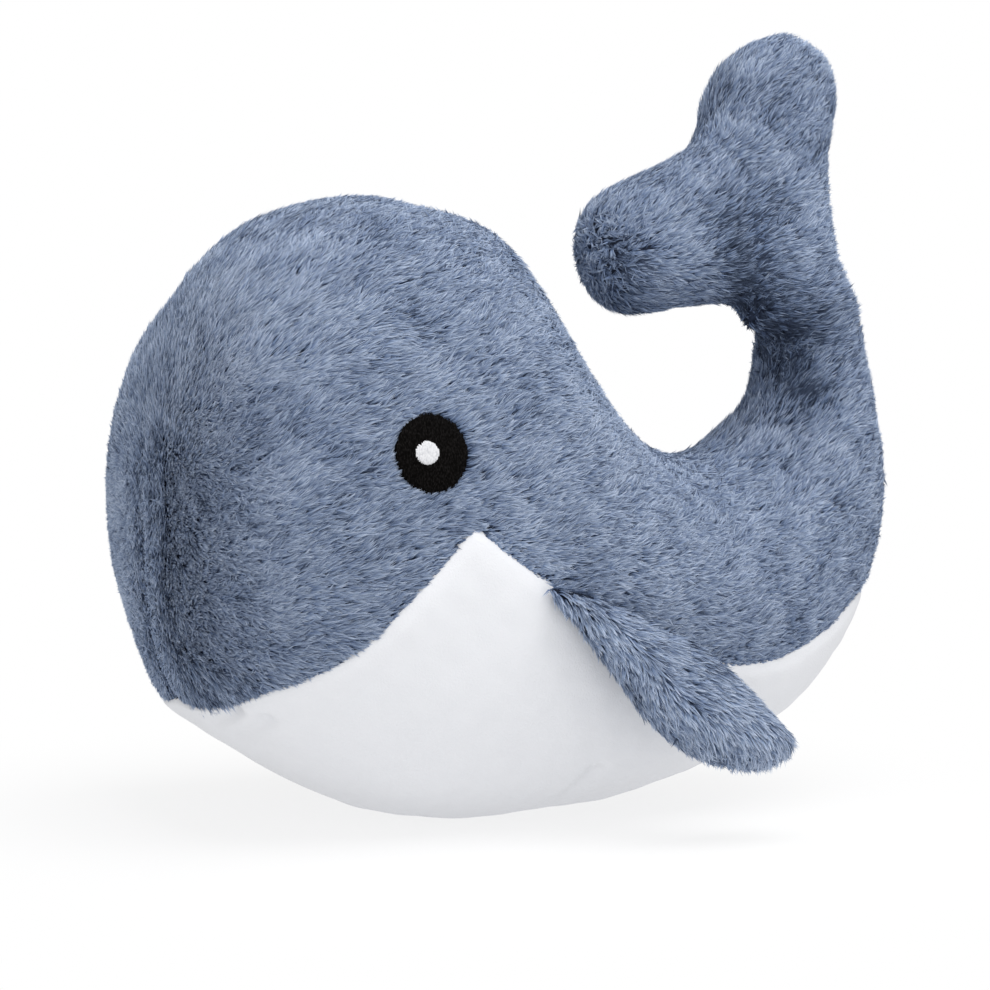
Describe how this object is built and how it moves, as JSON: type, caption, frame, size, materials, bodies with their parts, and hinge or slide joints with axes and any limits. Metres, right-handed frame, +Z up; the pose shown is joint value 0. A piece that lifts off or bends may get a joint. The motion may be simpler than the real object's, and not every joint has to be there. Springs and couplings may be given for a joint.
{
  "type": "plush whale",
  "caption": "Stuffed fur whale with a high domed head, white belly, side fins and a curled-up tail with flukes.",
  "frame": {"origin": "on the flat patch under the belly that the toy rests on, in its middle plane", "axes": "+Z up, the head looks along -X, the whale's left side faces -Y"},
  "size_m": [0.2514, 0.1836, 0.2545],
  "materials": {
    "blue_fur": "mid-blue faux fur, pile about 4 mm, matt",
    "white_plush": "off-white short-pile plush, matt",
    "black_thread": "black satin-stitch embroidery, slight sheen",
    "white_thread": "white satin-stitch embroidery, slight sheen",
    "white_fibre": "loose white polyester fibre, matt"
  },
  "bodies": {
    "trunk": {"back_left_panel": "blue_fur", "back_right_panel": "blue_fur", "belly_panel": "white_plush", "trunk_stuffing": "white_fibre", "eye_left_disc": "black_thread", "eye_right_disc": "black_thread", "eye_left_highlight": "white_thread", "eye_right_highlight": "white_thread", "tail_root_sleeve": "blue_fur", "tail_root_stuffing": "white_fibre"},
    "tail": {"tail_left_panel": "blue_fur", "tail_right_panel": "blue_fur", "tail_stuffing": "white_fibre", "fluke_waist_sleeve": "blue_fur", "fluke_waist_stuffing": "white_fibre"},
    "flukes": {"fluke_left_front_panel": "blue_fur", "fluke_left_back_panel": "blue_fur", "fluke_right_front_panel": "blue_fur", "fluke_right_back_panel": "blue_fur", "fluke_left_stuffing": "white_fibre", "fluke_right_stuffing": "white_fibre"},
    "fin_left": {"fin_left_outer_panel": "blue_fur", "fin_left_inner_panel": "blue_fur", "fin_left_stuffing": "white_fibre"},
    "fin_right": {"fin_right_outer_panel": "blue_fur", "fin_right_inner_panel": "blue_fur", "fin_right_stuffing": "white_fibre"}
  },
  "joints": [
    {"name": "tail_bend", "type": "hinge", "parent": "trunk", "child": "tail", "pos_m": [0.12453, 0, 0.10903], "axis": [0, 1, 0], "range_deg": [-12, 30], "stiffness_Nm_per_rad": 0.3, "deforming": ["tail_root_sleeve", "tail_root_stuffing"]},
    {"name": "fluke_nod", "type": "hinge", "parent": "tail", "child": "flukes", "pos_m": [0.11852, -0.00383, 0.17104], "axis": [0.8722, 0.1471, 0.4665], "range_deg": [-20, 20], "stiffness_Nm_per_rad": 0.15, "deforming": ["fluke_waist_sleeve", "fluke_waist_stuffing"]},
    {"name": "fin_left_flap", "type": "hinge", "parent": "trunk", "child": "fin_left", "pos_m": [0.00146, -0.0761, 0.0798], "axis": [-0.9753, -0.0752, 0.2077], "range_deg": [-8, 75], "stiffness_Nm_per_rad": 0.01},
    {"name": "fin_right_flap", "type": "hinge", "parent": "trunk", "child": "fin_right", "pos_m": [0.00146, 0.0761, 0.0798], "axis": [0.9753, -0.0752, -0.2077], "range_deg": [-8, 75], "stiffness_Nm_per_rad": 0.01}
  ]
}
